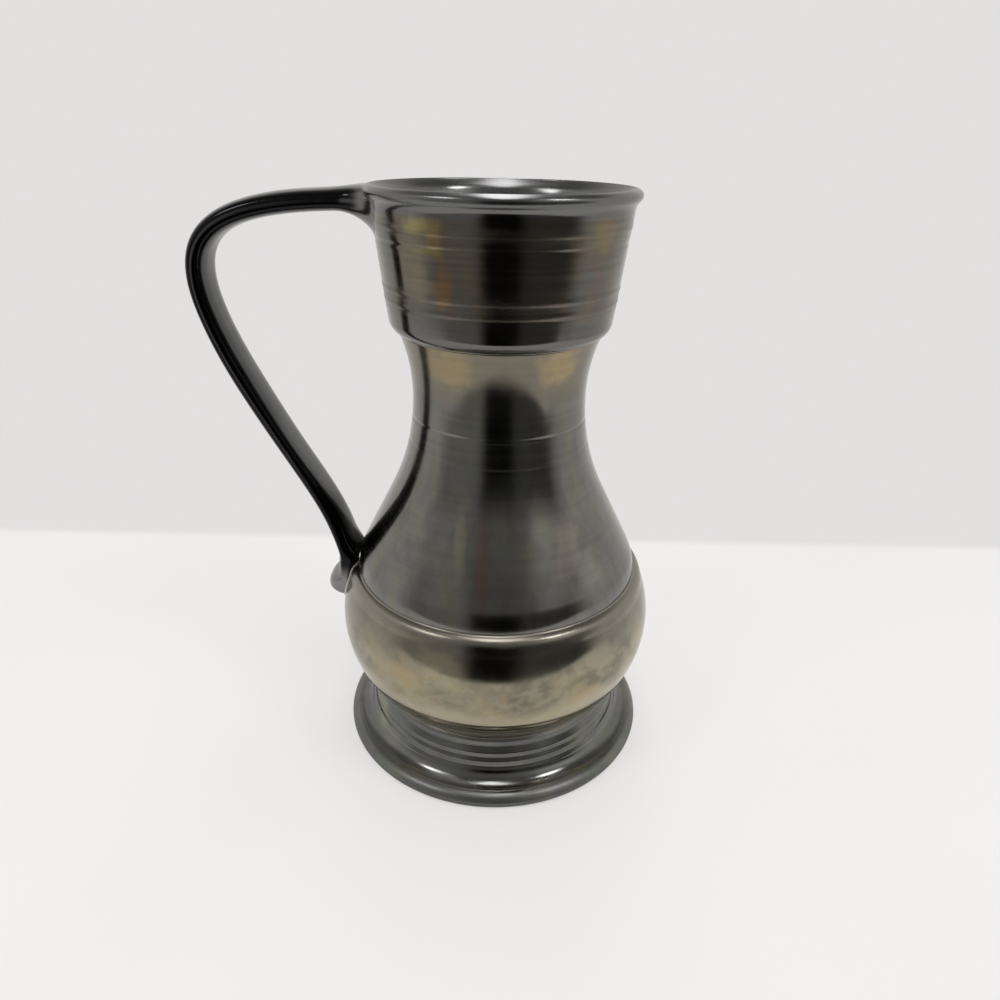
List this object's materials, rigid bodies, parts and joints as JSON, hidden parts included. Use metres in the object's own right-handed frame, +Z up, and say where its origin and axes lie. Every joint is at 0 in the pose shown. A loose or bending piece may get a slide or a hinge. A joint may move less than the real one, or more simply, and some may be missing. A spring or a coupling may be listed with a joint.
{
  "type": "lustreware jug",
  "caption": "Baluster table jug in dark metallic lustre glaze, with a flared collar, drawn-in neck, round bowl, spreading foot and a pulled strap handle.",
  "frame": {"origin": "on the jug's axis, on the table that the foot stands on", "axes": "+Z up along the jug's axis, -X towards the handle, +Y to the side, so that the handle lies in the XZ plane"},
  "size_m": [0.1708, 0.1256, 0.216],
  "materials": {
    "lustre_glaze": "glossy dark metallic lustre with gold and olive flashes",
    "seam_glaze": "the same lustre, thin and pale over a raised seam"
  },
  "bodies": {
    "root": {"foot": "lustre_glaze", "bowl": "lustre_glaze", "neck": "lustre_glaze", "collar": "lustre_glaze", "handle": "lustre_glaze", "foot_slip": "seam_glaze", "shoulder_slip": "seam_glaze", "collar_slip": "seam_glaze", "upper_handle_slip": "seam_glaze", "lower_handle_slip": "seam_glaze"}
  },
  "joints": []
}
